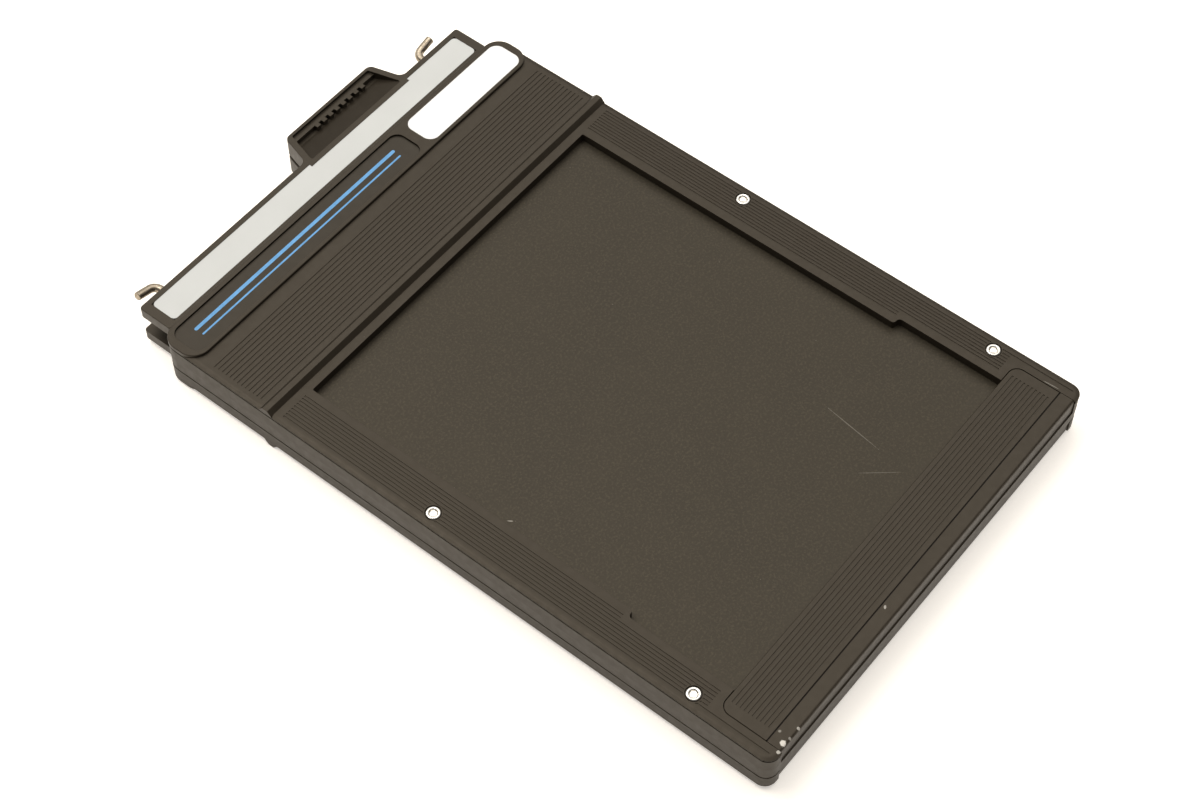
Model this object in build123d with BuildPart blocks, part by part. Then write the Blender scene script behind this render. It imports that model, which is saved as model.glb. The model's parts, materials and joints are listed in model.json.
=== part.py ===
"""Double-sided 4x5 sheet film holder.

Frame: origin under the middle of the bounding box, on the resting plane.
+X across the holder, +Y towards the dark slide handles, +Z up out of the
front face.  Units are millimetres.  The back is the mirror of the front
about the middle plane, apart from the deeper edge of the back cover.
"""
from build123d import *
import math
import os

os.makedirs("parts", exist_ok=True)

# ---------------------------------------------------------------- driving dimensions
body_width = 120.0  # standard holder width
total_length = 191.4  # flap end to the outer edge of the pull tabs
face_to_face = 12.0  # thickness over the two seating faces
rib_height = 1.2  # lock rib above the seating face
plate_height = 0.8  # name plate above the seating face
window_width = 97.3
wide_window_width = 101.1  # past the step, where the film is loaded
window_top_y = 40.2  # window edge nearest the handles
window_step_y = -51.3
step_corner_radius = 0.8
flap_edge_y = -79.3  # window edge formed by the flap
hinge_y = -91.6
body_end_y = 76.9  # handle end of the body
flap_corner_radius = 3.0
handle_corner_radius = 4.5

# ---------------------------------------------------------------- levels
half_width = body_width / 2
flap_end_y = -total_length / 2
tab_end_y = total_length / 2
mid_z = rib_height + face_to_face / 2
face_z = mid_z + face_to_face / 2
cover_thickness = 2.2
cover_inner_z = face_z - cover_thickness
flange_thickness = 0.6  # the part of the front cover that shows on its edge
edge_roll_width = 0.95  # rolled edge of the covers, seen from above
edge_roll_drop = 0.32  # and its depth below the face
frame_top_z = face_z - flange_thickness
seam_gap = 0.45  # height and depth of the shadow gap below the front cover
frame_bottom_z = 5.0
slide_thickness = 0.8
slide_gap = 0.1
slide_top_z = cover_inner_z - slide_gap
slide_bottom_z = slide_top_z - slide_thickness
block_top_z = slide_bottom_z - slide_gap
block_bottom_z = 2 * mid_z - block_top_z
septum_thickness = 1.6
septum_top_z = mid_z + septum_thickness / 2
middle = Plane.XY.offset(mid_z)
face_plane = Plane.XY.offset(face_z)

# ---------------------------------------------------------------- widths
slide_width = 106.0
slide_tip_radius = 1.5
chamber_width = 106.6  # inner opening of the frame
nested_width = 116.8  # the part of the front cover that sits inside the frame
nested_end_y = body_end_y - 1.6
flap_width = 112.0
flap_bed_radius = 2.6  # inner corners of the flap's bed
flap_radius = 2.5
side_gap = 0.1  # gap each side of the flap and the end bar
chamber_top_y = 43.7
chamber_end_y = -84.3

# ---------------------------------------------------------------- surface pattern
groove_width = 0.38
groove_depth = 0.15
rail_groove_x = 51.0  # innermost groove of each side field
rail_groove_pitch = 0.875
rail_groove_count = 9
rail_groove_top_y = 40.4
rail_groove_end_y = -77.3
short_groove_count = 2  # grooves that stop at the window step
short_groove_end_y = -50.3
outer_groove_end_y = -93.7
block_groove_y = 47.5
block_groove_pitch = 1.18
block_groove_count = 13
block_groove_length = 115.6
block_groove_width = 0.3
flap_groove_y = -80.8
flap_groove_pitch = 1.04
flap_groove_count = 10
flap_groove_length = 106.4

# ---------------------------------------------------------------- rivets
rivet_x = 56.6
rivet_upper_y = -2.3
rivet_lower_y = -73.3
rivet_spots = [(sx * rivet_x, y) for y in (rivet_upper_y, rivet_lower_y) for sx in (-1, 1)]
rivet_shank_radius = 1.2
rivet_head_radius = 1.75
rivet_hole_radius = 0.9
rivet_clearance = 0.05
rivet_recess_radius = 1.95
rivet_recess_depth = 0.45
rivet_head_height = 0.6

# ---------------------------------------------------------------- rib and name plate
rib_y = 44.15
rib_base = 3.5
rib_crest = 1.4
plate_start_y = 65.55
plate_corner_radius = 4.5
panel_min_x = -57.8
panel_max_x = 20.5
memo_min_x = 23.2
memo_max_x = 58.0
label_min_y = 66.5
label_max_y = 75.6
label_corner_radius = 2.6
panel_recess_depth = 0.85
panel_thickness = 0.35
memo_recess_depth = 0.4
memo_thickness = 0.3

# ---------------------------------------------------------------- handles
handle_width = 112.6
handle_start_y = body_end_y + 0.3
handle_edge_y = 87.0
handle_top_z = 12.9
handle_thickness = 3.0
handle_edge_radius = 0.8
handle_bottom_z = handle_top_z - handle_thickness
sheet_in_handle_y = 83.2
slide_tip_y = -88.8
tab_x = 18.0
tab_base_width = 35.5
tab_end_width = 30.6
tab_end_radius = 1.8
tab_root_radius = 2.2
tab_thickness = 5.2  # the tab is deeper than the handle behind it
tab_side_wall = 1.5
tab_outer_wall = 0.9
tab_pocket_start_y = 86.1
tab_ramp_drop = 0.15  # start of the sloping pocket floor below the rim
tab_floor_drop = 2.2  # and its end
ledge_start_y = 93.3
ledge_drop = 0.8
tooth_x = 19.4
tooth_count = 8
tooth_pitch = 2.31
tooth_width = 1.3
tooth_length = 0.9
strip_width = 107.6
strip_start_y = 78.2
strip_end_y = 85.5
strip_tab_end_y = 84.7  # the strip is narrower beside the tab
strip_recess_depth = 0.4
strip_thickness = 0.3
strip_corner_radius = 1.2

# ---------------------------------------------------------------- end bars
bar_set_back = 0.35
bar_edge_radius = 0.7
bar_lip_z = 8.6
bar_lip_depth = 1.4

# ---------------------------------------------------------------- light trap
trap_min_y = 49.7
trap_max_y = 57.7
trap_width = 104.0
trap_floor_z = mid_z + 0.4
felt_top_z = block_top_z + 0.05
felt_thickness = 1.1
spring_thickness = 0.2
spring_width = 6.0
spring_waves = 5

# ---------------------------------------------------------------- lock hooks
hook_x = 46.7
wire_radius = 1.05
wire_clearance = 0.05
hook_inner_y = 60.7
hook_bend_y = 92.3
hook_reach = 5.9
hook_tilt = 15.0
hook_bend_radius = 2.0
collar_radius = 2.0
collar_length = 2.0
collar_y = 63.7
collar_pocket_width = 4.8
collar_pocket_min_y = 61.5
collar_pocket_max_y = 65.9


def band(width, low_y, high_y, mode=Mode.ADD):
    """Rectangle centred on X, from one Y to another, drawn in the active sketch."""
    with Locations((0, (low_y + high_y) / 2)):
        Rectangle(width, high_y - low_y, mode=mode)


def span(low_x, high_x, low_y, high_y, radius, mode=Mode.ADD):
    """Rounded rectangle between two corners, drawn in the active sketch."""
    with Locations(((low_x + high_x) / 2, (low_y + high_y) / 2)):
        RectangleRounded(high_x - low_x, high_y - low_y, radius, mode=mode)


def outline():
    """Outline of the body, with tighter corners at the flap end, drawn in the active sketch."""
    span(-half_width, half_width, flap_end_y, 10, flap_corner_radius)
    span(-half_width, half_width, -10, body_end_y, handle_corner_radius)


def finish_part(builder, name):
    """Label a finished piece and write its file."""
    builder.part.label = name
    export_step(builder.part, f"parts/{name}.step")


# ================================================================ cover skin
# Everything that the two covers share: the flange, the nested plate, the window,
# the lock rib, the raised name plate, the recesses and the grooves.
with BuildPart() as cover_skin:
    with BuildSketch(Plane.XY.offset(frame_top_z)):
        outline()
    extrude(amount=flange_thickness)
    top_face = cover_skin.faces().sort_by(Axis.Z)[-1]
    chamfer(top_face.edges(), length=edge_roll_width, length2=edge_roll_drop, reference=top_face)
    fillet(cover_skin.faces().sort_by(Axis.Z)[-1].edges(), radius=1.6)
    chamfer(cover_skin.faces().sort_by(Axis.Z)[0].edges(), length=0.12)
    with BuildSketch(Plane.XY.offset(cover_inner_z)):
        band(nested_width, flap_end_y + 1.6, nested_end_y)
    extrude(amount=cover_thickness - 0.3)

    # raised name plate
    with BuildSketch(Plane.XY.offset(face_z - edge_roll_drop)):
        with Locations((0, (plate_start_y + body_end_y) / 2)):
            RectangleRounded(body_width, body_end_y - plate_start_y, plate_corner_radius)
    extrude(amount=plate_height + edge_roll_drop)
    fillet(cover_skin.faces().sort_by(Axis.Z)[-1].edges(), radius=0.3)

    # lock rib, a ridge with sloping flanks across the full width
    with BuildSketch(Plane.YZ.offset(-half_width)):
        with BuildLine():
            Polyline(
                (rib_y - rib_base / 2, face_z - edge_roll_drop),
                (rib_y - rib_base / 2, face_z),
                (rib_y - rib_crest / 2, face_z + rib_height),
                (rib_y + rib_crest / 2, face_z + rib_height),
                (rib_y + rib_base / 2, face_z),
                (rib_y + rib_base / 2, face_z - edge_roll_drop),
                close=True,
            )
        make_face()
    extrude(amount=body_width)

    # window, the wider stretch past the step, the flap bed and the end bar bed
    with BuildSketch(Plane.XY.offset(cover_inner_z)) as opening:
        span(-window_width / 2, window_width / 2, flap_edge_y - 4, window_top_y, 0.4)
        span(-wide_window_width / 2, wide_window_width / 2, flap_edge_y - 4, window_step_y, 1.0)
        corners = opening.vertices()
        step_row = corners.filter_by_position(Axis.Y, window_step_y - 0.1, window_step_y + 0.1)
        fillet(step_row.sort_by(Axis.X)[1:3], radius=step_corner_radius)
        with Locations((0, (flap_edge_y + flap_end_y - 8) / 2)):
            RectangleRounded(flap_width + 2 * side_gap, flap_edge_y - flap_end_y + 8, flap_bed_radius)
    extrude(amount=cover_thickness + 1, mode=Mode.SUBTRACT)

    # recesses of the name panel and of the writing label
    with BuildSketch(Plane.XY.offset(face_z + plate_height)):
        span(panel_min_x, panel_max_x, label_min_y, label_max_y, label_corner_radius)
    extrude(amount=-panel_recess_depth, mode=Mode.SUBTRACT)
    with BuildSketch(Plane.XY.offset(face_z + plate_height)):
        span(memo_min_x, memo_max_x, label_min_y, label_max_y, label_corner_radius)
    extrude(amount=-memo_recess_depth, mode=Mode.SUBTRACT)

    # grooves of the two side fields, clear of the rivets
    with BuildSketch(face_plane):
        for side in (-1, 1):
            for i in range(rail_groove_count):
                end_y = rail_groove_end_y
                if i < short_groove_count:
                    end_y = short_groove_end_y
                if i == rail_groove_count - 1:
                    end_y = outer_groove_end_y
                x = side * (rail_groove_x + i * rail_groove_pitch)
                with Locations((x, (rail_groove_top_y + end_y) / 2)):
                    Rectangle(groove_width, rail_groove_top_y - end_y)
        with Locations(*rivet_spots):
            Circle(rivet_recess_radius + 0.25, mode=Mode.SUBTRACT)
    extrude(amount=-groove_depth, mode=Mode.SUBTRACT)

    # grooves of the block between the rib and the name plate
    with BuildSketch(face_plane):
        for i in range(block_groove_count):
            with Locations((0, block_groove_y + i * block_groove_pitch)):
                Rectangle(block_groove_length, block_groove_width)
    extrude(amount=-groove_depth, mode=Mode.SUBTRACT)

    # rivet holes with a shallow recess for each head
    with Locations(*[(x, y, face_z) for x, y in rivet_spots]):
        CounterBoreHole(
            radius=rivet_shank_radius + rivet_clearance,
            counter_bore_radius=rivet_recess_radius,
            counter_bore_depth=rivet_recess_depth,
            depth=cover_thickness + 1,
        )

# ---------------------------------------------------------------- front cover
with BuildPart() as front_cover:
    add(cover_skin.part)
finish_part(front_cover, "front_cover")

# ---------------------------------------------------------------- back cover
with BuildPart() as back_cover:
    mirror(cover_skin.part, about=middle)
    with BuildSketch(Plane.XY.offset(2 * mid_z - frame_top_z)):
        outline()
        band(chamber_width, flap_end_y - 1, body_end_y + 1, mode=Mode.SUBTRACT)
        with Locations(*rivet_spots):
            Circle(rivet_shank_radius + rivet_clearance, mode=Mode.SUBTRACT)
    extrude(amount=frame_bottom_z - (2 * mid_z - frame_top_z))
    # beds of the flap and of the end bar between the walls
    with BuildSketch(Plane.XY.offset(2 * mid_z - cover_inner_z)):
        with Locations((0, (flap_edge_y + flap_end_y - 8) / 2)):
            RectangleRounded(flap_width + 2 * side_gap, flap_edge_y - flap_end_y + 8, flap_bed_radius)
    extrude(amount=-cover_thickness, mode=Mode.SUBTRACT)
    with BuildSketch(Plane.XY.offset(2 * mid_z - cover_inner_z)):
        band(flap_width + 2 * side_gap, flap_end_y - 1, hinge_y + 0.6)
    extrude(amount=frame_bottom_z, mode=Mode.SUBTRACT)
finish_part(back_cover, "back_cover")

# ================================================================ body frame
draft_angle = 1.2
frame_mid_z = (frame_top_z + frame_bottom_z) / 2
frame_half_height = (frame_top_z - frame_bottom_z) / 2
with BuildPart() as body_frame:
    with BuildSketch(Plane.XY.offset(frame_mid_z)):
        outline()
    extrude(amount=frame_half_height, both=True, taper=draft_angle)
    chamfer(body_frame.faces().sort_by(Axis.Z)[0].edges(), length=0.22)
    # shadow gap under the edge of the front cover
    with BuildSketch(Plane.XY.offset(frame_top_z - seam_gap)):
        outline()
        offset(amount=-seam_gap, mode=Mode.SUBTRACT)
    extrude(amount=seam_gap + 0.1, mode=Mode.SUBTRACT)
    # the blocks at the two ends reach down between the walls of the back cover
    with BuildSketch(Plane.XY.offset(block_bottom_z)):
        band(chamber_width - 0.2, chamber_top_y, body_end_y)
        band(chamber_width - 0.2, flap_end_y + 0.6, chamber_end_y)
    extrude(amount=2.0)
    # bed of the front cover and channel of the front dark slide
    with BuildSketch(Plane.XY.offset(cover_inner_z)):
        band(nested_width + 0.1, flap_end_y + 1.5, nested_end_y + 0.05)
        band(chamber_width, 0, body_end_y + 1)
        band(flap_width + 2 * side_gap, flap_end_y - 1, chamber_end_y)
    extrude(amount=4, mode=Mode.SUBTRACT)
    with BuildSketch(Plane.XY.offset(block_top_z)):
        band(chamber_width, hinge_y + 0.6, body_end_y + 1)
        band(flap_width + 2 * side_gap, flap_end_y - 1, hinge_y + 0.6)
    extrude(amount=4, mode=Mode.SUBTRACT)
    # rebate for the lip of the front end bar
    with BuildSketch(Plane.XY.offset(bar_lip_z - 0.05)):
        band(flap_width + 2 * side_gap, flap_end_y - 1, flap_end_y + bar_lip_depth + 0.05)
    extrude(amount=4, mode=Mode.SUBTRACT)
    # film chamber
    with BuildSketch(Plane.XY.offset(block_bottom_z - 1)):
        band(chamber_width, chamber_end_y, chamber_top_y)
    extrude(amount=block_top_z - block_bottom_z + 2, mode=Mode.SUBTRACT)
    # groove that holds the edges of the septum
    with BuildSketch(Plane.XY.offset(mid_z)):
        band(chamber_width + 2.0, chamber_end_y - 1.0, chamber_top_y + 1.0)
    extrude(amount=septum_thickness / 2, both=True, mode=Mode.SUBTRACT)
    # pockets of the light traps, one on each side of the middle web
    with BuildSketch(Plane.XY.offset(trap_floor_z)):
        band(trap_width, trap_min_y, trap_max_y)
    extrude(amount=4, mode=Mode.SUBTRACT)
    with BuildSketch(Plane.XY.offset(2 * mid_z - trap_floor_z)):
        band(trap_width, trap_min_y, trap_max_y)
    extrude(amount=-4, mode=Mode.SUBTRACT)
    # bores and collar pockets of the lock hooks
    with Locations(*[Plane((s * hook_x, body_end_y, mid_z), z_dir=(0, 1, 0)) for s in (-1, 1)]):
        Hole(radius=wire_radius + wire_clearance, depth=body_end_y - hook_inner_y + 0.5)
    with BuildSketch(Plane.XY.offset(mid_z - collar_pocket_width / 2 + 0.1)):
        for side in (-1, 1):
            with Locations((side * hook_x, (collar_pocket_min_y + collar_pocket_max_y) / 2)):
                Rectangle(collar_pocket_width, collar_pocket_max_y - collar_pocket_min_y)
    extrude(amount=6, mode=Mode.SUBTRACT)
    # rivet holes
    with Locations(*[(x, y, frame_top_z) for x, y in rivet_spots]):
        Hole(radius=rivet_shank_radius + rivet_clearance)
finish_part(body_frame, "body_frame")

# ================================================================ septum and film rails
with BuildPart() as septum:
    with BuildSketch(Plane.XY.offset(mid_z)):
        band(chamber_width + 1.9, chamber_end_y - 0.95, chamber_top_y + 0.95)
    extrude(amount=septum_thickness / 2 - 0.02, both=True)
finish_part(septum, "septum")

rail_inner_x = 49.5
rail_shoulder_x = 51.2
rail_outer_x = chamber_width / 2 - 0.05
rail_top_z = block_top_z - 0.1
film_slot_height = 0.5
for side, sign in (("left", -1), ("right", 1)):
    with BuildPart() as film_rail:
        with BuildSketch(Plane.XZ.offset(-(chamber_top_y - 0.1))):
            with BuildLine():
                Polyline(
                    (sign * rail_outer_x, septum_top_z),
                    (sign * rail_outer_x, rail_top_z),
                    (sign * (rail_inner_x + 0.4), rail_top_z),
                    (sign * rail_inner_x, rail_top_z - 0.4),
                    (sign * rail_inner_x, septum_top_z + film_slot_height),
                    (sign * rail_shoulder_x, septum_top_z + film_slot_height),
                    (sign * rail_shoulder_x, septum_top_z),
                    close=True,
                )
            make_face()
        extrude(amount=chamber_top_y - chamber_end_y - 0.2)
    finish_part(film_rail, f"front_rail_{side}")
    with BuildPart() as mirrored_rail:
        mirror(film_rail.part, about=middle)
    finish_part(mirrored_rail, f"back_rail_{side}")

# ================================================================ light traps
with BuildPart() as front_felt:
    with BuildSketch(Plane.XY.offset(felt_top_z)):
        band(trap_width - 0.4, trap_min_y + 0.2, trap_max_y - 0.2)
    extrude(amount=-felt_thickness)
    fillet(front_felt.edges().filter_by(Axis.X).group_by(Axis.Z)[-1], radius=0.3)
finish_part(front_felt, "front_felt")
with BuildPart() as back_felt:
    mirror(front_felt.part, about=middle)
finish_part(back_felt, "back_felt")

spring_low_z = trap_floor_z
spring_high_z = felt_top_z - felt_thickness - spring_thickness
wave_step = (trap_width - 4) / (4 * spring_waves)
wave_points = []
for i in range(spring_waves):
    start = -(trap_width - 4) / 2 + 4 * i * wave_step
    wave_points.append((start + 0.5 * wave_step, spring_low_z))
    wave_points.append((start + 1.5 * wave_step, spring_high_z))
    wave_points.append((start + 2.5 * wave_step, spring_high_z))
    wave_points.append((start + 3.5 * wave_step, spring_low_z))
with BuildPart() as front_trap_spring:
    with BuildSketch(Plane.XZ.offset(-(trap_max_y + trap_min_y + spring_width) / 2)):
        with BuildLine():
            upper = [(x, z + spring_thickness) for x, z in reversed(wave_points)]
            Polyline(*wave_points, *upper, close=True)
        make_face()
    extrude(amount=spring_width)
finish_part(front_trap_spring, "front_trap_spring")
with BuildPart() as back_trap_spring:
    mirror(front_trap_spring.part, about=middle)
finish_part(back_trap_spring, "back_trap_spring")

# ================================================================ dark slides
with BuildPart() as front_slide:
    with BuildSketch(Plane.XY.offset(slide_bottom_z)):
        band(slide_width, slide_tip_y, sheet_in_handle_y)
    extrude(amount=slide_thickness)
    fillet(front_slide.edges().filter_by(Axis.Z).group_by(Axis.Y)[0], radius=slide_tip_radius)
finish_part(front_slide, "front_slide")
with BuildPart() as back_slide:
    mirror(front_slide.part, about=middle)
finish_part(back_slide, "back_slide")

# ---------------------------------------------------------------- handles
tab_end_half = tab_end_width / 2
tab_base_half = tab_base_width / 2
with BuildPart() as front_handle:
    with BuildSketch(Plane.XY.offset(handle_bottom_z)) as handle_shape:
        span(-handle_width / 2, handle_width / 2, handle_start_y, handle_edge_y, handle_edge_radius)
        with BuildLine():
            Polyline(
                (tab_x - tab_base_half, handle_edge_y - 1),
                (tab_x - tab_base_half, handle_edge_y),
                (tab_x - tab_end_half, tab_end_y),
                (tab_x + tab_end_half, tab_end_y),
                (tab_x + tab_base_half, handle_edge_y),
                (tab_x + tab_base_half, handle_edge_y - 1),
                close=True,
            )
        make_face()
        fillet(handle_shape.vertices().group_by(Axis.Y)[-1], radius=tab_end_radius)
        corners = handle_shape.vertices()
        edge_row = corners.filter_by_position(Axis.Y, handle_edge_y - 0.1, handle_edge_y + 0.1)
        fillet(edge_row.sort_by(Axis.X)[1:3], radius=tab_root_radius)
    extrude(amount=handle_thickness)
    # the pull tab reaches lower than the rest of the handle
    with BuildSketch(Plane.XY.offset(handle_top_z - tab_thickness)):
        add(handle_shape.sketch_local)
        with Locations((tab_x, tab_end_y)):
            Rectangle(tab_base_width + 1, 2 * (tab_end_y - handle_edge_y) + 2, mode=Mode.INTERSECT)
    extrude(amount=tab_thickness)
    fillet(front_handle.faces().sort_by(Axis.Z)[-1].edges(), radius=0.25)
    fillet(front_handle.faces().sort_by(Axis.Z)[0].edges(), radius=0.25)
    # slot for the end of the dark slide
    with BuildSketch(Plane.XY.offset(slide_bottom_z)):
        band(slide_width, handle_start_y - 1, sheet_in_handle_y)
    extrude(amount=slide_thickness, mode=Mode.SUBTRACT)
    # bed of the coloured strip
    with BuildSketch(Plane.XY.offset(handle_top_z)):
        band(strip_width, strip_start_y, strip_tab_end_y)
        side_length = strip_width / 2 + tab_x - tab_base_half
        with Locations((-(strip_width - side_length) / 2, (strip_start_y + strip_end_y) / 2)):
            Rectangle(side_length, strip_end_y - strip_start_y)
        side_length = strip_width / 2 - tab_x - tab_base_half
        with Locations(((strip_width - side_length) / 2, (strip_start_y + strip_end_y) / 2)):
            Rectangle(side_length, strip_end_y - strip_start_y)
    extrude(amount=-strip_recess_depth, mode=Mode.SUBTRACT)
    # finger pocket with a sloping floor, a ledge along the outer wall and grip teeth
    with BuildPart(mode=Mode.PRIVATE) as pocket:
        pocket_end_y = tab_end_y - tab_outer_wall
        with BuildSketch(Plane.XY.offset(handle_top_z)):
            with BuildLine():
                Polyline(
                    (tab_x - tab_base_half + tab_side_wall, tab_pocket_start_y),
                    (tab_x + tab_base_half - tab_side_wall, tab_pocket_start_y),
                    (tab_x + tab_end_half - tab_side_wall, pocket_end_y),
                    (tab_x - tab_end_half + tab_side_wall, pocket_end_y),
                    close=True,
                )
            hollow = make_face()
            fillet(hollow.vertices(), radius=0.5)
        extrude(amount=-tab_floor_drop)
        with BuildSketch(Plane.YZ.offset(tab_x - tab_base_width)):
            with BuildLine():
                Polyline(
                    (tab_pocket_start_y - 1, handle_top_z - tab_ramp_drop),
                    (tab_pocket_start_y, handle_top_z - tab_ramp_drop),
                    (ledge_start_y - tooth_length, handle_top_z - tab_floor_drop),
                    (tab_pocket_start_y - 1, handle_top_z - tab_floor_drop - 1),
                    close=True,
                )
            make_face()
        extrude(amount=2 * tab_base_width, mode=Mode.SUBTRACT)
        with BuildSketch(Plane.XY.offset(handle_top_z - ledge_drop)):
            with Locations((tab_x, (ledge_start_y + tab_end_y) / 2)):
                Rectangle(tab_base_width, tab_end_y - ledge_start_y)
            with Locations((tooth_x, ledge_start_y - tooth_length / 2 + 0.1)):
                with GridLocations(tooth_pitch, 1, tooth_count, 1):
                    Rectangle(tooth_width, tooth_length + 0.2)
        extrude(amount=-tab_floor_drop, mode=Mode.SUBTRACT)
    add(pocket.part, mode=Mode.SUBTRACT)
finish_part(front_handle, "front_handle")
with BuildPart() as back_handle:
    mirror(front_handle.part, about=middle)
finish_part(back_handle, "back_handle")

# ---------------------------------------------------------------- strips on the handles
with BuildPart() as front_handle_strip:
    gap = 0.05
    left_x = -strip_width / 2 + gap
    right_x = strip_width / 2 - gap
    tab_left_x = tab_x - tab_base_half - gap
    tab_right_x = tab_x + tab_base_half + gap
    low_y = strip_start_y + gap
    with BuildSketch(Plane.XY.offset(handle_top_z - strip_recess_depth)):
        with BuildLine():
            Polyline(
                (left_x, low_y),
                (right_x, low_y),
                (right_x, strip_end_y - gap),
                (tab_right_x, strip_end_y - gap),
                (tab_right_x, strip_tab_end_y - gap),
                (tab_left_x, strip_tab_end_y - gap),
                (tab_left_x, strip_end_y - gap),
                (left_x, strip_end_y - gap),
                close=True,
            )
        strip = make_face()
        corner_columns = strip.vertices().group_by(Axis.X)
        fillet(corner_columns[0] + corner_columns[-1], radius=strip_corner_radius)
    extrude(amount=strip_thickness)
finish_part(front_handle_strip, "front_handle_strip")
with BuildPart() as back_handle_strip:
    mirror(front_handle_strip.part, about=middle)
finish_part(back_handle_strip, "back_handle_strip")

# ================================================================ flaps, hinges and end bars
hinge_gap = 0.16
with BuildPart() as front_flap:
    flap_low_y = hinge_y + hinge_gap
    flap_high_y = flap_edge_y - side_gap
    with BuildSketch(Plane.XY.offset(cover_inner_z)):
        with Locations((0, (flap_low_y + flap_high_y) / 2)):
            flap_shape = Rectangle(flap_width, flap_high_y - flap_low_y)
        fillet(flap_shape.vertices().group_by(Axis.Y)[-1], radius=flap_radius)
    extrude(amount=cover_thickness)
    top_edges = front_flap.faces().sort_by(Axis.Z)[-1].edges().sort_by(Axis.Y)
    chamfer(top_edges[1:], length=0.15)
    with BuildSketch(face_plane):
        for i in range(flap_groove_count):
            with Locations((0, flap_groove_y - i * flap_groove_pitch)):
                Rectangle(flap_groove_length, groove_width)
    extrude(amount=-groove_depth, mode=Mode.SUBTRACT)
finish_part(front_flap, "front_flap")
with BuildPart() as back_flap:
    mirror(front_flap.part, about=middle)
finish_part(back_flap, "back_flap")

web_drop = 0.1
web_thickness = 0.2
with BuildPart() as front_flap_hinge:
    with BuildSketch(Plane.XY.offset(face_z - web_drop)):
        with Locations((0, hinge_y)):
            Rectangle(flap_width - 0.4, 2 * hinge_gap - 0.02)
    extrude(amount=-web_thickness)
finish_part(front_flap_hinge, "front_flap_hinge")
with BuildPart() as back_flap_hinge:
    mirror(front_flap_hinge.part, about=middle)
finish_part(back_flap_hinge, "back_flap_hinge")

with BuildPart() as end_bar:
    with BuildSketch(Plane.XY.offset(block_top_z)):
        with Locations((0, (hinge_y - hinge_gap + flap_end_y + bar_set_back) / 2)):
            Rectangle(flap_width, hinge_y - hinge_gap - flap_end_y - bar_set_back)
    extrude(amount=face_z - block_top_z)
    outer_edge = end_bar.edges().filter_by(Axis.X).group_by(Axis.Y)[0].sort_by(Axis.Z)[-1]
    fillet(outer_edge, radius=bar_edge_radius)
with BuildPart() as front_end_bar:
    add(end_bar.part)
    # lip that covers the upper part of the end face
    with BuildSketch(Plane.XY.offset(bar_lip_z)):
        with Locations((0, flap_end_y + (bar_set_back + bar_lip_depth) / 2)):
            Rectangle(flap_width, bar_lip_depth - bar_set_back)
    extrude(amount=block_top_z - bar_lip_z + 0.5)
finish_part(front_end_bar, "front_end_bar")
with BuildPart() as back_end_bar:
    mirror(end_bar.part, about=middle)
finish_part(back_end_bar, "back_end_bar")

# ================================================================ labels
label_gap = 0.05
with BuildPart() as front_name_panel:
    with BuildSketch(Plane.XY.offset(face_z + plate_height - panel_recess_depth)):
        span(
            panel_min_x + label_gap,
            panel_max_x - label_gap,
            label_min_y + label_gap,
            label_max_y - label_gap,
            label_corner_radius - label_gap,
        )
    extrude(amount=panel_thickness)
finish_part(front_name_panel, "front_name_panel")
with BuildPart() as back_name_panel:
    mirror(front_name_panel.part, about=middle)
finish_part(back_name_panel, "back_name_panel")

with BuildPart() as front_memo_label:
    with BuildSketch(Plane.XY.offset(face_z + plate_height - memo_recess_depth)):
        span(
            memo_min_x + label_gap,
            memo_max_x - label_gap,
            label_min_y + label_gap,
            label_max_y - label_gap,
            label_corner_radius - label_gap,
        )
    extrude(amount=memo_thickness)
finish_part(front_memo_label, "front_memo_label")
with BuildPart() as back_memo_label:
    mirror(front_memo_label.part, about=middle)
finish_part(back_memo_label, "back_memo_label")

# ================================================================ rivets
# A tubular rivet, turned about its axis: a rolled ring at each end with a blind dimple.
rivet_head_z = face_z - mid_z - rivet_recess_depth
rivet_crown_z = rivet_head_z + rivet_head_height
dimple_z = rivet_crown_z - 0.5
for name, (x, y) in zip(("upper_left", "upper_right", "lower_left", "lower_right"), rivet_spots):
    with BuildPart() as rivet:
        with BuildSketch(Plane((x, y, mid_z), x_dir=(1, 0, 0), z_dir=(0, -1, 0))):
            with BuildLine():
                Line((0, 0), (rivet_shank_radius, 0))
                Line((rivet_shank_radius, 0), (rivet_shank_radius, rivet_head_z))
                Line((rivet_shank_radius, rivet_head_z), (rivet_head_radius, rivet_head_z))
                Line((rivet_head_radius, rivet_head_z), (rivet_head_radius, rivet_head_z + 0.15))
                ThreePointArc(
                    (rivet_head_radius, rivet_head_z + 0.15),
                    ((rivet_head_radius + rivet_hole_radius) / 2 + 0.1, rivet_crown_z),
                    (rivet_hole_radius, rivet_crown_z - 0.25),
                )
                Line((rivet_hole_radius, rivet_crown_z - 0.25), (rivet_hole_radius - 0.1, dimple_z))
                Line((rivet_hole_radius - 0.1, dimple_z), (0, dimple_z - 0.15))
                Line((0, dimple_z - 0.15), (0, 0))
            make_face()
        revolve(axis=Axis((x, y, mid_z), (0, 0, 1)))
        mirror(about=middle)
    finish_part(rivet, f"rivet_{name}")

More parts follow.
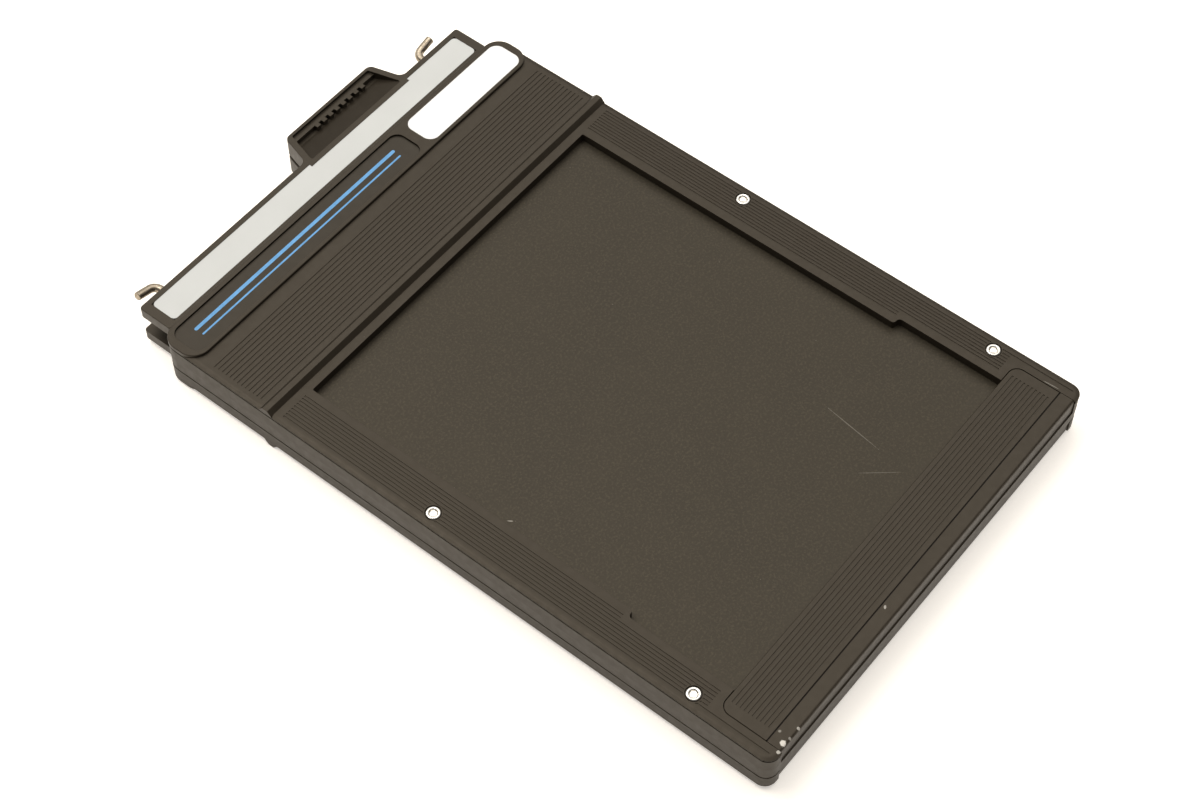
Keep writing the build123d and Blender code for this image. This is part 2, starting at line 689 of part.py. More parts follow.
# ================================================================ lock hooks
for side, sign in (("left", -1), ("right", 1)):
    inner_end = (sign * hook_x, hook_inner_y, mid_z)
    corner = (sign * hook_x, hook_bend_y, mid_z)
    tilt = math.radians(hook_tilt)
    tip = (
        sign * (hook_x + hook_reach * math.cos(tilt)),
        hook_bend_y,
        mid_z + hook_reach * math.sin(tilt),
    )
    with BuildPart() as lock_hook:
        with BuildLine() as wire_path:
            FilletPolyline(inner_end, corner, tip, radius=hook_bend_radius)
        with BuildSketch(Plane(inner_end, z_dir=(0, 1, 0))):
            Circle(wire_radius)
        sweep(path=wire_path.wires()[0])
        tip_face = lock_hook.faces().filter_by(GeomType.PLANE).sort_by(Axis.X)
        fillet(tip_face[0 if sign < 0 else -1].edges(), radius=0.3)
    finish_part(lock_hook, f"lock_hook_{side}")
    with BuildPart() as hook_collar:
        with BuildSketch(Plane((sign * hook_x, collar_y, mid_z), z_dir=(0, 1, 0))):
            Circle(collar_radius)
            Circle(wire_radius, mode=Mode.SUBTRACT)
        extrude(amount=collar_length / 2, both=True)
        chamfer(hook_collar.edges().filter_by(GeomType.CIRCLE).group_by(SortBy.RADIUS)[-1], length=0.25)
    finish_part(hook_collar, f"hook_collar_{side}")
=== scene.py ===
"""Looks of the sheet film holder: its finishes, hinge webs, ruled lines, floor, light and camera."""
import json
import math

import bmesh
import bpy
from mathutils import Matrix, Vector


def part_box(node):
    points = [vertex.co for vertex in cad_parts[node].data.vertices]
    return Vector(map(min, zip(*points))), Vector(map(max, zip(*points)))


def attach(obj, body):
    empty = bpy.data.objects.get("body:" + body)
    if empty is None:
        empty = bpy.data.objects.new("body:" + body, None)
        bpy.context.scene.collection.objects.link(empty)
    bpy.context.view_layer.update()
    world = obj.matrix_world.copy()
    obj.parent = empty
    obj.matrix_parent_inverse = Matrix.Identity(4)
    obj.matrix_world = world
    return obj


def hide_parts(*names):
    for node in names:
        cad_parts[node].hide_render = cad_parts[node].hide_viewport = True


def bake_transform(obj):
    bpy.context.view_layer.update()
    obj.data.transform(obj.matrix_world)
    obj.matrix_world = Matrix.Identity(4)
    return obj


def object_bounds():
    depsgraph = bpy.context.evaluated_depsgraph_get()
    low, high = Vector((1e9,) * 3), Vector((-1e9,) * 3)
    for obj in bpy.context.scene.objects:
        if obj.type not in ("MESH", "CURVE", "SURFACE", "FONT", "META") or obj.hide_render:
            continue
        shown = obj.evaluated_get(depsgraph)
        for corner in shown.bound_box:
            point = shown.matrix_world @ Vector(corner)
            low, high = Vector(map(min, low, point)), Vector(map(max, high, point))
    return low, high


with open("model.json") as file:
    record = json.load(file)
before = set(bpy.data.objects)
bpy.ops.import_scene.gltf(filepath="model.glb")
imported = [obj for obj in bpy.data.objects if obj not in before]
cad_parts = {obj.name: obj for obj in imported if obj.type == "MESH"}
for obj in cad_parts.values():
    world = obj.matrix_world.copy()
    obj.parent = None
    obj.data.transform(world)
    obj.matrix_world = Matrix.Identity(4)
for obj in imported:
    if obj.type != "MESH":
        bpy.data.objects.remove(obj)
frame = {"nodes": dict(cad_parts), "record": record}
cad_low, cad_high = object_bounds()
MM = 0.001

WARM_BLACK = (0.019, 0.0145, 0.0095, 1)
WARM_SHEEN = (1.0, 0.88, 0.72, 1)
DUST = (0.42, 0.39, 0.34, 1)
# pale colour of chips, also used for one painted highlight line beside the flap
CHIP_AND_HIGHLIGHT = (0.72, 0.69, 0.63, 1)
SHEET_DUST = (0.36, 0.33, 0.28, 1)
SHEET_SCRATCH = (0.5, 0.47, 0.41, 1)
BEVEL_SAMPLES = 4


# ---------------------------------------------------------------- node graph helpers
def add(tree, kind, **sockets):
    """New node; sockets are set by name, to a value or to another node's output."""
    made = tree.nodes.new(kind)
    for key, value in sockets.items():
        socket = made.inputs[key.replace("_", " ")]
        if isinstance(value, bpy.types.NodeSocket):
            tree.links.new(value, socket)
        else:
            socket.default_value = value
    return made


def calc(tree, operation, *values):
    """Math node's output."""
    made = tree.nodes.new("ShaderNodeMath")
    made.operation = operation
    for socket, value in zip(made.inputs, values):
        if isinstance(value, bpy.types.NodeSocket):
            tree.links.new(value, socket)
        else:
            socket.default_value = value
    return made.outputs[0]


def vector_calc(tree, operation, first, second):
    """Vector Math node's number."""
    made = tree.nodes.new("ShaderNodeVectorMath")
    made.operation = operation
    for socket, value in zip(made.inputs, (first, second)):
        if isinstance(value, bpy.types.NodeSocket):
            tree.links.new(value, socket)
        else:
            socket.default_value = value
    return made.outputs["Value"]


def place(tree):
    """Coordinates in the part's own frame, in metres."""
    return add(tree, "ShaderNodeTexCoord").outputs["Object"]


def turned(tree, vector, scale=(1, 1, 1), angle=0.0, shift=(0, 0, 0)):
    """The vector moved, turned about Z and stretched."""
    made = add(tree, "ShaderNodeMapping", Vector=vector)
    made.vector_type = "TEXTURE"
    made.inputs["Location"].default_value = shift
    made.inputs["Rotation"].default_value = (0, 0, math.radians(angle))
    made.inputs["Scale"].default_value = scale
    return made.outputs["Vector"]


def noise(tree, vector, size, detail=2.0, roughness=0.5, distortion=0.0):
    """Noise from 0 to 1 whose features are about size metres across."""
    return add(
        tree,
        "ShaderNodeTexNoise",
        Vector=vector,
        Scale=1 / size,
        Detail=detail,
        Roughness=roughness,
        Distortion=distortion,
    ).outputs["Fac"]


def stretch(tree, value, low, high, to_low=0.0, to_high=1.0):
    """Value mapped from one range to another and held inside it."""
    made = add(tree, "ShaderNodeMapRange", Value=value)
    made.clamp = True
    made.inputs["From Min"].default_value = low
    made.inputs["From Max"].default_value = high
    made.inputs["To Min"].default_value = to_low
    made.inputs["To Max"].default_value = to_high
    return made.outputs["Result"]


def mix(tree, factor, first, second):
    """Two colours mixed by a factor."""
    made = tree.nodes.new("ShaderNodeMix")
    made.data_type = "RGBA"
    made.clamp_factor = True
    for name, value in (("Factor", factor), ("A", first), ("B", second)):
        kinds = ("VALUE",) if name == "Factor" else ("RGBA",)
        socket = next(s for s in made.inputs if s.name == name and s.type in kinds)
        if isinstance(value, bpy.types.NodeSocket):
            tree.links.new(value, socket)
        else:
            socket.default_value = value
    return next(s for s in made.outputs if s.type == "RGBA")


def bump(tree, height, depth, strength=1.0, normal=None):
    """Normal bent by a height whose full range is depth metres."""
    made = add(tree, "ShaderNodeBump", Height=height, Strength=strength, Distance=depth)
    if normal is not None:
        tree.links.new(normal, made.inputs["Normal"])
    return made.outputs["Normal"]


def scaled(colour, factor):
    """Colour with its brightness changed."""
    return tuple(min(1.0, c * factor) for c in colour[:3]) + (1.0,)


def new_material(name):
    """Material with an empty Principled surface, and its tree and shader."""
    material = bpy.data.materials.new(name)
    material.use_nodes = True
    tree = material.node_tree
    tree.nodes.clear()
    shader = tree.nodes.new("ShaderNodeBsdfPrincipled")
    output = tree.nodes.new("ShaderNodeOutputMaterial")
    tree.links.new(shader.outputs[0], output.inputs["Surface"])
    return material, tree, shader


def connect(tree, shader, **sockets):
    """Links outputs to the shader's inputs by name."""
    for key, value in sockets.items():
        tree.links.new(value, shader.inputs[key.replace("_", " ")])


# ---------------------------------------------------------------- masks
def edge_mask(tree, radius):
    """1 along sharp edges, 0 on flat faces."""
    rounded = add(tree, "ShaderNodeBevel", Radius=radius)
    rounded.samples = BEVEL_SAMPLES
    facing = add(tree, "ShaderNodeNewGeometry").outputs["Normal"]
    same = vector_calc(tree, "DOT_PRODUCT", rounded.outputs[0], facing)
    return stretch(tree, same, 0.995, 0.9)


def specks(tree, vector, spacing, radius, share, seed):
    """Small dots, at most one in each cell, in the given share of the cells."""
    moved = turned(tree, vector, shift=(seed * 0.013, seed * 0.007, seed * 0.003))
    cells = add(tree, "ShaderNodeTexVoronoi", Vector=moved, Scale=1 / spacing)
    dot = stretch(tree, cells.outputs["Distance"], radius / spacing, 0.4 * radius / spacing)
    pick = add(tree, "ShaderNodeSeparateColor", Color=cells.outputs["Color"])
    chosen = calc(tree, "LESS_THAN", pick.outputs[0], share)
    return calc(tree, "MULTIPLY", dot, chosen)


def hairlines(tree, vector, angle, length, width, seed):
    """Faint scratches that run one way, each about the given length and width."""
    lined = turned(
        tree,
        vector,
        scale=(width, length, width),
        angle=angle,
        shift=(seed * 0.017, seed * 0.011, 0),
    )
    streak = add(tree, "ShaderNodeTexNoise", Vector=lined, Scale=1.0, Detail=0.0)
    return stretch(tree, streak.outputs["Fac"], 0.78, 0.84)


def mark(tree, vector, centre, half_size, angle):
    """A ragged spot or short scratch at one place on the surface."""
    raggedness = 0.5
    grain = 0.5 * MM
    local = turned(tree, vector, scale=half_size, angle=angle, shift=centre)
    reach = vector_calc(tree, "LENGTH", local, (0, 0, 0))
    torn = calc(tree, "MULTIPLY", noise(tree, vector, grain), raggedness * 2)
    return stretch(tree, calc(tree, "ADD", reach, torn), 1.15 + raggedness, 0.85 + raggedness)


def joined(tree, masks):
    """The strongest of several masks."""
    result = masks[0]
    for other in masks[1:]:
        result = calc(tree, "MAXIMUM", result, other)
    return result


# ---------------------------------------------------------------- finishes
def moulded_plastic(
    name,
    colour,
    grain=0.22 * MM,
    grain_depth=0.006 * MM,
    gloss=0.46,
    dust=0.2,
    scratches=0.25,
    wear=0.3,
    marks=(),
    seed=1,
):
    """Moulded plastic with a fine eroded grain, patchy gloss, dust, hairlines and worn edges."""
    gloss_spread = 0.1
    edge_radius = 0.12 * MM
    material, tree, shader = new_material(name)
    at = place(tree)
    patches = noise(tree, at, 22 * MM, detail=4.0)
    mottle = noise(tree, at, 1.6 * MM, detail=3.0)
    fine = noise(tree, at, grain, detail=2.0, roughness=0.65)
    tone = mix(tree, stretch(tree, patches, 0.3, 0.7), scaled(colour, 0.92), scaled(colour, 1.08))
    tone = mix(tree, stretch(tree, mottle, 0.55, 0.8, 0, 0.35), tone, scaled(colour, 1.25))
    tone = mix(tree, stretch(tree, fine, 0.35, 0.65, 0.3, 0), tone, scaled(colour, 0.7))

    edges = edge_mask(tree, edge_radius * 1.6)
    rubbed = calc(tree, "MULTIPLY", edges, stretch(tree, mottle, 0.42, 0.62))
    tone = mix(tree, calc(tree, "MULTIPLY", rubbed, wear), tone, scaled(colour, 3.2))

    dots = calc(tree, "MULTIPLY", specks(tree, at, 3.1 * MM, 0.11 * MM, 0.22, seed), dust)
    tone = mix(tree, dots, tone, DUST)
    lines = joined(
        tree,
        [
            hairlines(tree, at, 24 + seed * 31, 14 * MM, 0.16 * MM, seed),
            hairlines(tree, at, -57 + seed * 17, 9 * MM, 0.12 * MM, seed + 5),
        ],
    )
    lines = calc(tree, "MULTIPLY", lines, scratches)
    tone = mix(tree, lines, tone, scaled(colour, 2.0))
    # chips in a pale colour; on the cover one of these marks is a painted highlight line along the
    # flap's edge
    for centre, half_size, angle, strength in marks:
        spot = calc(tree, "MULTIPLY", mark(tree, at, centre, half_size, angle), strength)
        tone = mix(tree, spot, tone, CHIP_AND_HIGHLIGHT)

    polish = calc(tree, "ADD", stretch(tree, mottle, 0.3, 0.75, 0, gloss_spread), gloss)
    polish = calc(tree, "SUBTRACT", polish, calc(tree, "MULTIPLY", rubbed, 0.1))
    rounded = add(tree, "ShaderNodeBevel", Radius=edge_radius)
    rounded.samples = BEVEL_SAMPLES
    normal = bump(tree, fine, grain_depth, 0.8, rounded.outputs[0])
    normal = bump(tree, mottle, grain_depth * 1.5, 0.5, normal)
    connect(tree, shader, Base_Color=tone, Roughness=polish, Normal=normal)
    shader.inputs["IOR"].default_value = 1.5
    shader.inputs["Specular Tint"].default_value = WARM_SHEEN
    return material


def dark_sheet(name, colour, marks=()):
    """Thin hard sheet with a matt, speckled face, scuffs and faint handling scratches."""
    material, tree, shader = new_material(name)
    at = place(tree)
    patches = noise(tree, at, 30 * MM, detail=5.0, roughness=0.6)
    clouds = noise(tree, at, 7 * MM, detail=3.0)
    fine = noise(tree, at, 0.28 * MM, detail=3.0, roughness=0.7)
    speckle = noise(tree, at, 0.6 * MM, detail=3.0, roughness=0.7)
    tone = mix(tree, stretch(tree, patches, 0.3, 0.7), scaled(colour, 0.86), scaled(colour, 1.16))
    tone = mix(tree, stretch(tree, clouds, 0.45, 0.7, 0, 0.35), tone, scaled(colour, 1.4))
    tone = mix(tree, stretch(tree, speckle, 0.48, 0.66, 0, 0.75), tone, scaled(colour, 2.5))
    tone = mix(tree, stretch(tree, fine, 0.3, 0.5, 0.35, 0), tone, scaled(colour, 0.65))
    dots = calc(tree, "MULTIPLY", specks(tree, at, 4.3 * MM, 0.13 * MM, 0.3, 3), 0.35)
    tone = mix(tree, dots, tone, SHEET_DUST)
    lines = joined(
        tree,
        [
            hairlines(tree, at, -38, 12 * MM, 0.13 * MM, 6),
            hairlines(tree, at, 64, 9 * MM, 0.11 * MM, 9),
        ],
    )
    lines = calc(tree, "MULTIPLY", lines, 0.22)
    tone = mix(tree, lines, tone, scaled(colour, 2.1))
    for centre, half_size, angle, strength in marks:
        spot = calc(tree, "MULTIPLY", mark(tree, at, centre, half_size, angle), strength)
        tone = mix(tree, spot, tone, SHEET_SCRATCH)
    polish = stretch(tree, patches, 0.3, 0.7, 0.5, 0.53)
    polish = calc(tree, "SUBTRACT", polish, calc(tree, "MULTIPLY", lines, 0.2))
    normal = bump(tree, fine, 0.012 * MM, 0.9)
    normal = bump(tree, speckle, 0.012 * MM, 0.7, normal)
    connect(tree, shader, Base_Color=tone, Roughness=polish, Normal=normal)
    shader.inputs["IOR"].default_value = 1.48
    shader.inputs["Specular Tint"].default_value = WARM_SHEEN
    return material


def painted_label(name, colour, shade, gloss, pencil=0.0):
    """Printed or painted insert with a soft tooth and a little handling dirt."""
    material, tree, shader = new_material(name)
    at = place(tree)
    patches = noise(tree, at, 9 * MM, detail=4.0)
    tooth = noise(tree, at, 0.18 * MM, detail=2.0)
    tone = mix(tree, stretch(tree, patches, 0.35, 0.75, 0, 0.6), colour, shade)
    tone = mix(tree, stretch(tree, tooth, 0.3, 0.5, 0.18, 0), tone, scaled(shade, 0.9))
    streaks = hairlines(tree, at, 78, 11 * MM, 0.18 * MM, 4)
    tone = mix(tree, calc(tree, "MULTIPLY", streaks, 0.12 + pencil), tone, scaled(shade, 0.6))
    corners = edge_mask(tree, 0.35 * MM)
    dirt = calc(tree, "MULTIPLY", corners, stretch(tree, patches, 0.4, 0.6, 0.1, 0.45))
    tone = mix(tree, dirt, tone, scaled(shade, 0.55))
    polish = stretch(tree, patches, 0.3, 0.7, gloss, gloss + 0.12)
    normal = bump(tree, tooth, 0.004 * MM, 0.6)
    connect(tree, shader, Base_Color=tone, Roughness=polish, Normal=normal)
    shader.inputs["IOR"].default_value = 1.46
    return material


def worn_metal(name, colour, stain, low_rough, high_rough, size=0.6 * MM, brushed=False):
    """Bare or plated metal with tarnish in patches and fine tool marks."""
    material, tree, shader = new_material(name)
    at = place(tree)
    patches = noise(tree, at, size, detail=4.0, roughness=0.6)
    fine = noise(tree, at, 0.09 * MM, detail=2.0)
    drawn = turned(tree, at, scale=(0.12 * MM, (4.0 if brushed else 0.3) * MM, 0.12 * MM))
    streaks = add(tree, "ShaderNodeTexNoise", Vector=drawn, Scale=1.0, Detail=2.0).outputs["Fac"]
    tone = mix(tree, stretch(tree, patches, 0.42, 0.72), colour, stain)
    tone = mix(tree, stretch(tree, streaks, 0.55, 0.8, 0, 0.35), tone, scaled(stain, 0.7))
    polish = stretch(tree, patches, 0.3, 0.7, low_rough, high_rough)
    normal = bump(tree, streaks, 0.008 * MM, 0.6)
    normal = bump(tree, fine, 0.003 * MM, 0.5, normal)
    connect(tree, shader, Base_Color=tone, Roughness=polish, Normal=normal)
    shader.inputs["Metallic"].default_value = 1.0
    return material


def wool_felt(name, colour):
    """Dense black felt: matted fibres with a soft sheen."""
    material, tree, shader = new_material(name)
    at = place(tree)
    tufts = noise(tree, at, 0.9 * MM, detail=4.0, roughness=0.7, distortion=1.5)
    fibres = add(
        tree,
        "ShaderNodeTexNoise",
        Vector=turned(tree, at, scale=(0.05 * MM, 0.6 * MM, 0.05 * MM), angle=37),
        Scale=1.0,
        Detail=3.0,
        Distortion=2.5,
    ).outputs["Fac"]
    tone = mix(tree, stretch(tree, tufts, 0.35, 0.7), scaled(colour, 0.6), scaled(colour, 1.6))
    tone = mix(tree, stretch(tree, fibres, 0.6, 0.8, 0, 0.5), tone, scaled(colour, 3.0))
    height = calc(tree, "ADD", calc(tree, "MULTIPLY", tufts, 0.7), calc(tree, "MULTIPLY", fibres, 0.5))
    connect(tree, shader, Base_Color=tone, Normal=bump(tree, height, 0.12 * MM, 1.0))
    shader.inputs["Roughness"].default_value = 0.95
    shader.inputs["Sheen Weight"].default_value = 0.35
    shader.inputs["Sheen Roughness"].default_value = 0.6
    return material


def coated_tape(name, colour):
    """Flexible hinge web: finely ribbed along its length, dull, with paler creases."""
    material, tree, shader = new_material(name)
    at = place(tree)
    weave = noise(tree, at, 0.12 * MM, detail=2.0)
    creases = add(
        tree,
        "ShaderNodeTexNoise",
        Vector=turned(tree, at, scale=(3.0 * MM, 0.09 * MM, 0.09 * MM)),
        Scale=1.0,
        Detail=2.0,
    ).outputs["Fac"]
    tone = mix(tree, stretch(tree, creases, 0.45, 0.7), scaled(colour, 0.7), scaled(colour, 1.5))
    tone = mix(tree, stretch(tree, weave, 0.5, 0.8, 0, 0.4), tone, scaled(colour, 2.0))
    normal = bump(tree, creases, 0.03 * MM, 0.8)
    normal = bump(tree, weave, 0.01 * MM, 0.6, normal)
    polish = stretch(tree, weave, 0.3, 0.7, 0.7, 0.85)
    connect(tree, shader, Base_Color=tone, Roughness=polish, Normal=normal)
    shader.inputs["Specular IOR Level"].default_value = 0.15
    return material


def printed_ink(name, colour):
    """Screen-printed ink: slightly mottled cover with a few pinholes."""
    material, tree, shader = new_material(name)
    at = place(tree)
    cover = noise(tree, at, 1.4 * MM, detail=3.0)
    holes = noise(tree, at, 0.16 * MM, detail=2.0)
    tone = mix(tree, stretch(tree, cover, 0.3, 0.75), scaled(colour, 1.08), scaled(colour, 0.85))
    tone = mix(tree, stretch(tree, holes, 0.68, 0.78, 0, 0.7), tone, scaled(colour, 0.3))
    polish = stretch(tree, cover, 0.3, 0.7, 0.4, 0.55)
    normal = bump(tree, holes, 0.004 * MM, 0.5)
    connect(tree, shader, Base_Color=tone, Roughness=polish, Normal=normal)
    return material


# ---------------------------------------------------------------- levels read from the frame
bar_low, bar_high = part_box("front_end_bar")
face_z = bar_high.z
hinge_low, hinge_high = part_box("front_flap_hinge")
hinge_y = (hinge_low.y + hinge_high.y) / 2
slide_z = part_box("front_slide")[1].z
flap_side_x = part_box("front_flap")[1].x

# Chips and scuffs of use at the flap end, and one painted highlight along the flap's side edge by the
# hinge: centre, half size, angle and strength
corner_marks = [
    ((bar_low.x + 1.7 * MM, bar_low.y + 0.8 * MM, face_z), (0.75 * MM, 0.6 * MM, 1 * MM), 20, 1.0),
    ((bar_low.x + 6.5 * MM, bar_low.y + 0.35 * MM, face_z), (0.32 * MM, 0.4 * MM, 1 * MM), 0, 0.6),
    ((bar_low.x + 3.5 * MM, bar_low.y + 3.0 * MM, face_z), (0.35 * MM, 0.3 * MM, 1 * MM), 0, 0.3),
    ((bar_low.x + 3.5 * MM, bar_low.y + 0.4 * MM, face_z), (0.35 * MM, 0.3 * MM, 1 * MM), 40, 0.35),
    ((bar_low.x + 41.3 * MM, bar_low.y + 2.8 * MM, face_z), (0.5 * MM, 0.24 * MM, 1 * MM), 30, 0.5),
]
cover_chips_and_highlight = [
    ((bar_low.x - 0.5 * MM, bar_low.y + 0.4 * MM, face_z), (0.45 * MM, 0.35 * MM, 1 * MM), -35, 0.7),
    # painted highlight along the flap's side edge by the hinge, drawn as a thin pale scratch
    ((flap_side_x + 0.5 * MM, hinge_y + 2.7 * MM, face_z), (0.07 * MM, 2.1 * MM, 1 * MM), 3, 0.35),
]
slide_marks = [
    ((-46.7 * MM, -15.7 * MM, slide_z), (0.12 * MM, 0.7 * MM, 1 * MM), 35, 0.6),
    ((20.2 * MM, -59.8 * MM, slide_z), (0.1 * MM, 7.5 * MM, 1 * MM), -8, 0.2),
    ((14.0 * MM, -71.3 * MM, slide_z), (0.1 * MM, 5.0 * MM, 1 * MM), 40, 0.14),
]

materials = {
    "cover_plastic": moulded_plastic("cover_plastic_look", WARM_BLACK, marks=cover_chips_and_highlight, seed=1),
    "frame_plastic": moulded_plastic("frame_plastic_look", scaled(WARM_BLACK, 1.05), wear=0.35, seed=2),
    "flap_plastic": moulded_plastic(
        "flap_plastic_look", WARM_BLACK, dust=0.15, marks=corner_marks, seed=3
    ),
    "handle_plastic": moulded_plastic(
        "handle_plastic_look", WARM_BLACK, gloss=0.42, wear=0.45, seed=4
    ),
    "rail_plastic": moulded_plastic(
        "rail_plastic_look", scaled(WARM_BLACK, 0.8), dust=0.1, wear=0.4, scratches=0.4, seed=5
    ),
    "panel_black": moulded_plastic(
        "panel_black_look",
        (0.010, 0.0078, 0.0052, 1),
        grain=0.3 * MM,
        grain_depth=0.003 * MM,
        gloss=0.42,
        dust=0.3,
        wear=0.15,
        seed=6,
    ),
    "slide_plastic": dark_sheet("slide_plastic_look", (0.0165, 0.0135, 0.0085, 1), marks=slide_marks),
    "septum_plastic": dark_sheet("septum_plastic_look", (0.012, 0.010, 0.008, 1)),
    "strip_grey": painted_label(
        "strip_grey_look", (0.62, 0.63, 0.615, 1), (0.59, 0.60, 0.585, 1), 0.42
    ),
    "label_white": painted_label(
        "label_white_look", (0.96, 0.96, 0.95, 1), (0.92, 0.92, 0.90, 1), 0.55, pencil=0.03
    ),
    "rivet_metal": worn_metal(
        "rivet_metal_look", (0.88, 0.86, 0.82, 1), (0.66, 0.61, 0.52, 1), 0.26, 0.36, size=1.6 * MM
    ),
    "hook_wire": worn_metal(
        "hook_wire_look", (0.42, 0.36, 0.28, 1), (0.24, 0.20, 0.15, 1), 0.32, 0.48, brushed=True
    ),
    "spring_steel": worn_metal(
        "spring_steel_look", (0.56, 0.56, 0.55, 1), (0.35, 0.33, 0.30, 1), 0.25, 0.38, size=2.0 * MM
    ),
    "collar_brass": worn_metal(
        "collar_brass_look", (0.74, 0.56, 0.26, 1), (0.45, 0.32, 0.14, 1), 0.28, 0.45
    ),
    "felt": wool_felt("felt_look", (0.012, 0.011, 0.010, 1)),
    "hinge_tape": coated_tape("hinge_tape_look", (0.012, 0.0095, 0.007, 1)),
}


def dress(thing, material):
    """Gives every material slot of an object one material, leaving its mesh's own slots as they are."""
    if not thing.material_slots:
        thing.data.materials.append(material)
    for slot in thing.material_slots:
        slot.link = "OBJECT"
        slot.material = material


node_slots = {part["node"]: part["material_slot"] for part in frame["record"]["subparts"]}
for node, thing in frame["nodes"].items():
    dress(thing, materials[node_slots[node]])


# ---------------------------------------------------------------- pieces made here
def mesh_piece(name, maker, material):
    """Piece whose mesh is filled in by maker(bm), with smooth faces and one material."""
    bm = bmesh.new()
    maker(bm)
    bmesh.ops.recalc_face_normals(bm, faces=bm.faces)
    mesh = bpy.data.meshes.new(name)
    bm.to_mesh(mesh)
    bm.free()
    mesh.shade_smooth()
    piece = bpy.data.objects.new(name, mesh)
    bpy.context.scene.collection.objects.link(piece)
    piece.data.materials.append(material)
    return piece


def hinge_web(face_side):
    """Flexible web across the flap's hinge line, on one face of the holder."""
    low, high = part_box(f"{face_side}_flap_hinge")
    tuck = 0.12 * MM
    steps = 18
    thickness = high.z - low.z
    middle_z = (low.z + high.z) / 2
    waist = 0.35
    corner_width = 0.02 * MM

    def maker(bm):
        rows = []
        for i in range(steps + 1):
            share = i / steps
            y = low.y - tuck + share * (high.y - low.y + 2 * tuck)
            bend = math.cos((share - 0.5) * math.pi)
            half = thickness / 2 * (1 - waist * bend)
            rows.append(
                [
                    bm.verts.new((x, y, middle_z + side * half))
                    for x, side in ((low.x, -1), (high.x, -1), (high.x, 1), (low.x, 1))
                ]
            )
        for first, second in zip(rows, rows[1:]):
            for k in range(4):
                following = (k + 1) % 4
                bm.faces.new((first[k], first[following], second[following], second[k]))
        bm.faces.new(rows[0])
        bm.faces.new(rows[-1][::-1])

    piece = mesh_piece(f"{face_side}_hinge_web", maker, materials["hinge_tape"])
    smooth = piece.modifiers.new("corners", "BEVEL")
    smooth.width = corner_width
    smooth.segments = 2
    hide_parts(f"{face_side}_flap_hinge")
    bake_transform(piece)


for face_side in ("front", "back"):
    hinge_web(face_side)


def ruled_lines(face_side):
    """Two plain printed rules on the name panel, each a thin flat bar with round ends."""
    low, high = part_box(f"{face_side}_name_panel")
    outward = 1 if face_side == "front" else -1
    base_z = high.z if face_side == "front" else low.z
    ink = 0.02 * MM
    ends = 10
    inset = 5 * MM
    offset = 1.1 * MM
    thick_rule = 0.9 * MM
    thin_rule = 0.45 * MM

    def bar(bm, start_x, end_x, y, width):
        ring = []
        for centre_x, first_angle in ((end_x, -90), (start_x, 90)):
            for i in range(ends + 1):
                turn = math.radians(first_angle + 180 * i / ends)
                ring.append((centre_x + width / 2 * math.cos(turn), y + width / 2 * math.sin(turn)))
        lower = [bm.verts.new((x, y, base_z)) for x, y in ring]
        upper = [bm.verts.new((x, y, base_z + outward * ink)) for x, y in ring]
        bm.faces.new(lower[::-1])
        bm.faces.new(upper)
        for i in range(len(ring)):
            following = (i + 1) % len(ring)
            bm.faces.new((lower[i], lower[following], upper[following], upper[i]))

    def maker(bm):
        middle_y = (low.y + high.y) / 2
        bar(bm, low.x + inset, high.x - inset, middle_y + offset, thick_rule)
        bar(bm, low.x + inset, high.x - inset, middle_y - offset, thin_rule)

    blue = printed_ink(f"{face_side}_ink_look", (0.12, 0.36, 0.68, 1))
    piece = mesh_piece(f"{face_side}_ruled_lines", maker, blue)
    piece.data.shade_flat()
    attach(piece, "holder")


for face_side in ("front", "back"):
    ruled_lines(face_side)


# ---------------------------------------------------------------- floor
def floor():
    """Plain pale floor under the holder."""
    half_width = 3.0
    gap = 0.02 * MM
    bm = bmesh.new()
    bmesh.ops.create_grid(bm, x_segments=8, y_segments=8, size=half_width)
    mesh = bpy.data.meshes.new("floor")
    bm.to_mesh(mesh)
    bm.free()
    piece = bpy.data.objects.new("floor", mesh)
    piece.location.z = cad_low.z - gap
    bpy.context.scene.collection.objects.link(piece)
    material, tree, shader = new_material("floor_look")
    at = place(tree)
    tone = mix(tree, noise(tree, at, 0.4, detail=2.0), (0.95, 0.905, 0.84, 1), (0.93, 0.885, 0.82, 1))
    connect(tree, shader, Base_Color=tone)
    shader.inputs["Roughness"].default_value = 0.7
    shader.inputs["Specular IOR Level"].default_value = 0.2
    shader.inputs["Emission Color"].default_value = (1.0, 0.955, 0.90, 1)
    shader.inputs["Emission Strength"].default_value = 0.5
    piece.data.materials.append(material)


floor()


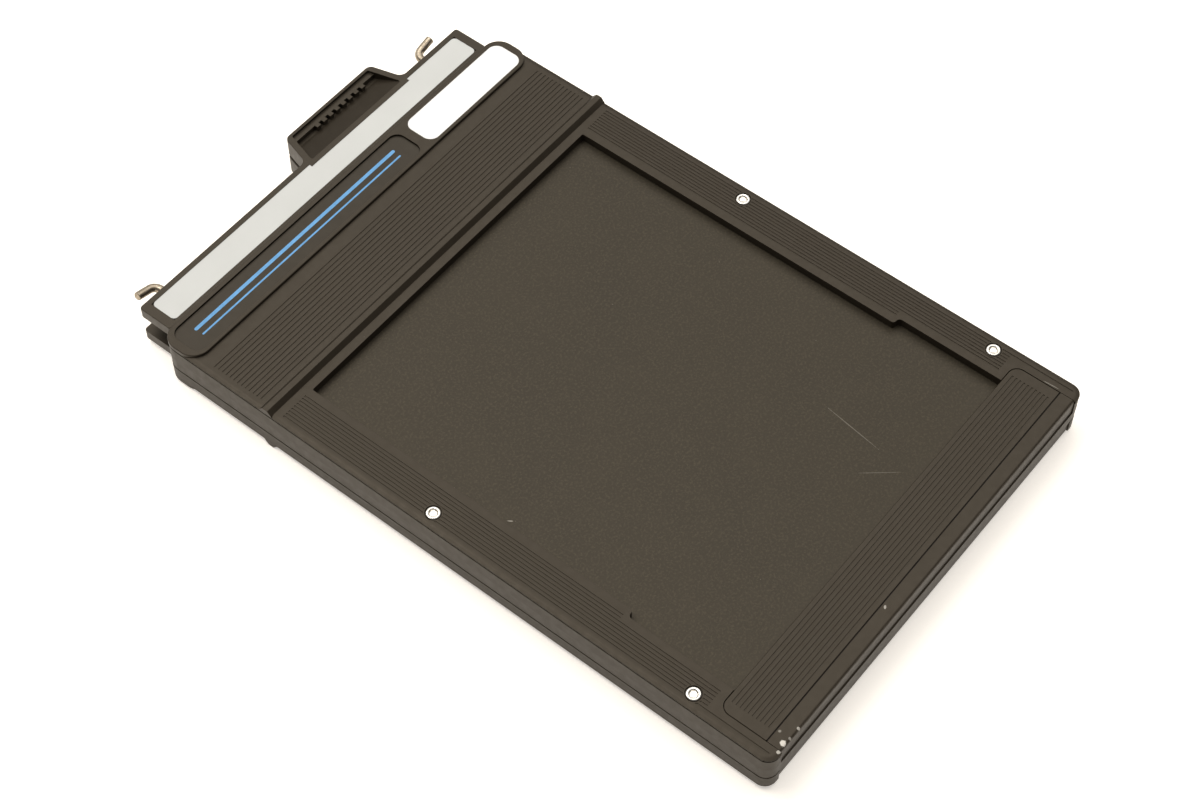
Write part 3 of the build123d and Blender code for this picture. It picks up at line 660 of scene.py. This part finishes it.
# ---------------------------------------------------------------- light
def softbox(name, azimuth, elevation, distance, size, power, colour):
    """Square area light aimed at the holder; azimuth is measured from +X towards +Y."""
    lamp = bpy.data.lights.new(name, "AREA")
    lamp.shape = "SQUARE"
    lamp.size = size
    lamp.energy = power
    lamp.color = colour
    thing = bpy.data.objects.new(name, lamp)
    bpy.context.scene.collection.objects.link(thing)
    a, e = math.radians(azimuth), math.radians(elevation)
    towards = Vector((math.cos(a) * math.cos(e), math.sin(a) * math.cos(e), math.sin(e)))
    thing.location = towards * distance
    thing.rotation_euler = towards.to_track_quat("Z", "Y").to_euler()


softbox(
    "overhead_panel",
    azimuth=28,
    elevation=70,
    distance=1.1,
    size=1.7,
    power=16.0,
    colour=(1.0, 0.97, 0.92),
)
softbox(
    "left_panel",
    azimuth=115,
    elevation=66,
    distance=1.3,
    size=0.6,
    power=5.0,
    colour=(1.0, 0.96, 0.9),
)
softbox(
    "side_panel",
    azimuth=100,
    elevation=28,
    distance=1.4,
    size=0.6,
    power=3.0,
    colour=(1.0, 0.97, 0.93),
)

world = bpy.data.worlds.new("studio")
world.use_nodes = True
world.node_tree.nodes["Background"].inputs["Color"].default_value = (1.0, 0.975, 0.94, 1)
world.node_tree.nodes["Background"].inputs["Strength"].default_value = 0.11
bpy.context.scene.world = world


# ---------------------------------------------------------------- camera
def camera():
    """Camera at the photograph's angle, with its focal length and slight roll."""
    azimuth, elevation, roll = math.radians(-52.259), math.radians(54.970), math.radians(0.799)
    aim = Vector((-10.456, -11.987, 13.2)) * MM
    distance = 558.902 * MM
    sensor_width_mm = 36.0
    focal_length_mm = 74.73
    back = Vector(
        (
            math.sin(azimuth) * math.cos(elevation),
            -math.cos(azimuth) * math.cos(elevation),
            math.sin(elevation),
        )
    )
    right = Vector((math.cos(azimuth), math.sin(azimuth), 0))
    up = back.cross(right)
    local_x = math.cos(roll) * right + math.sin(roll) * up
    local_y = -math.sin(roll) * right + math.cos(roll) * up
    lens = bpy.data.cameras.new("camera")
    lens.sensor_width = sensor_width_mm
    lens.lens = focal_length_mm
    lens.clip_start = 0.01
    lens.dof.use_dof = False
    thing = bpy.data.objects.new("camera", lens)
    bpy.context.scene.collection.objects.link(thing)
    turn = Matrix((local_x, local_y, back)).transposed().to_4x4()
    thing.matrix_world = Matrix.Translation(aim + back * distance) @ turn
    bpy.context.scene.camera = thing


camera()
bpy.context.scene.view_settings.view_transform = "Standard"
bpy.context.scene.view_settings.look = "None"
